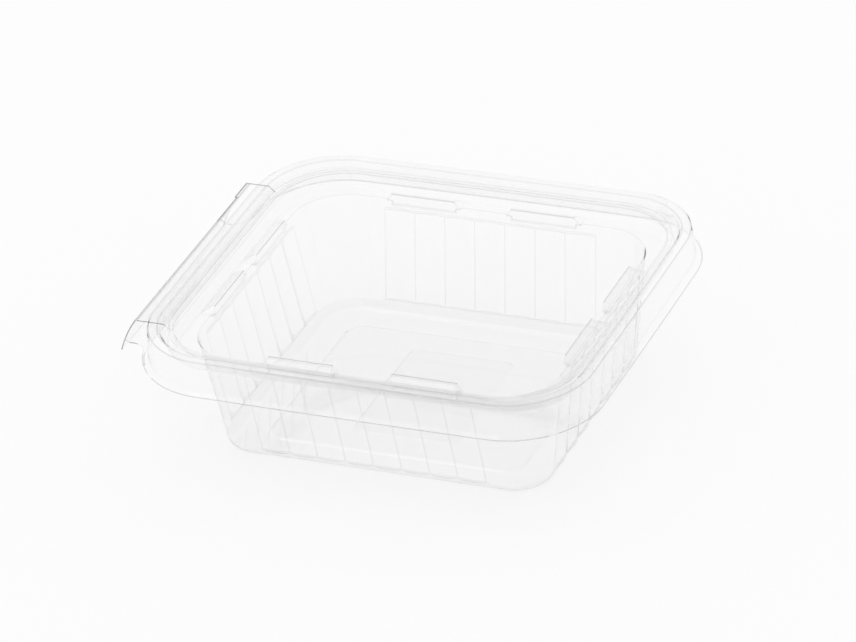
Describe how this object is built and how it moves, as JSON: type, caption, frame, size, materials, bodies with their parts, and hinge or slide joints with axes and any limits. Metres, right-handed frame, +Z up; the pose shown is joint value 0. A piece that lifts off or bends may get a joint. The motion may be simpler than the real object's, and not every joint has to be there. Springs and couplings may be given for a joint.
{
  "type": "plastic clamshell pack",
  "caption": "Clear hinged food tub with fluted tapered walls, a skirted rim and a flat lid on a fold, which nests inside the rim's bead.",
  "frame": {"origin": "centre of the pack's box at the level of its foot", "axes": "+Z up, front wall towards -Y, the lid's fold on the -X side"},
  "size_m": [0.2046, 0.1746, 0.059],
  "materials": {
    "clear_sheet": "clear thermoformed sheet, glossy on both sides"
  },
  "bodies": {
    "base": {"base": "clear_sheet"},
    "lid": {"lid": "clear_sheet"}
  },
  "joints": [
    {"name": "lid_hinge", "type": "hinge", "parent": "base", "child": "lid", "pos_m": [-0.09376, 0, 0.05915], "axis": [0, -1, 0], "range_deg": [0, 180]}
  ]
}
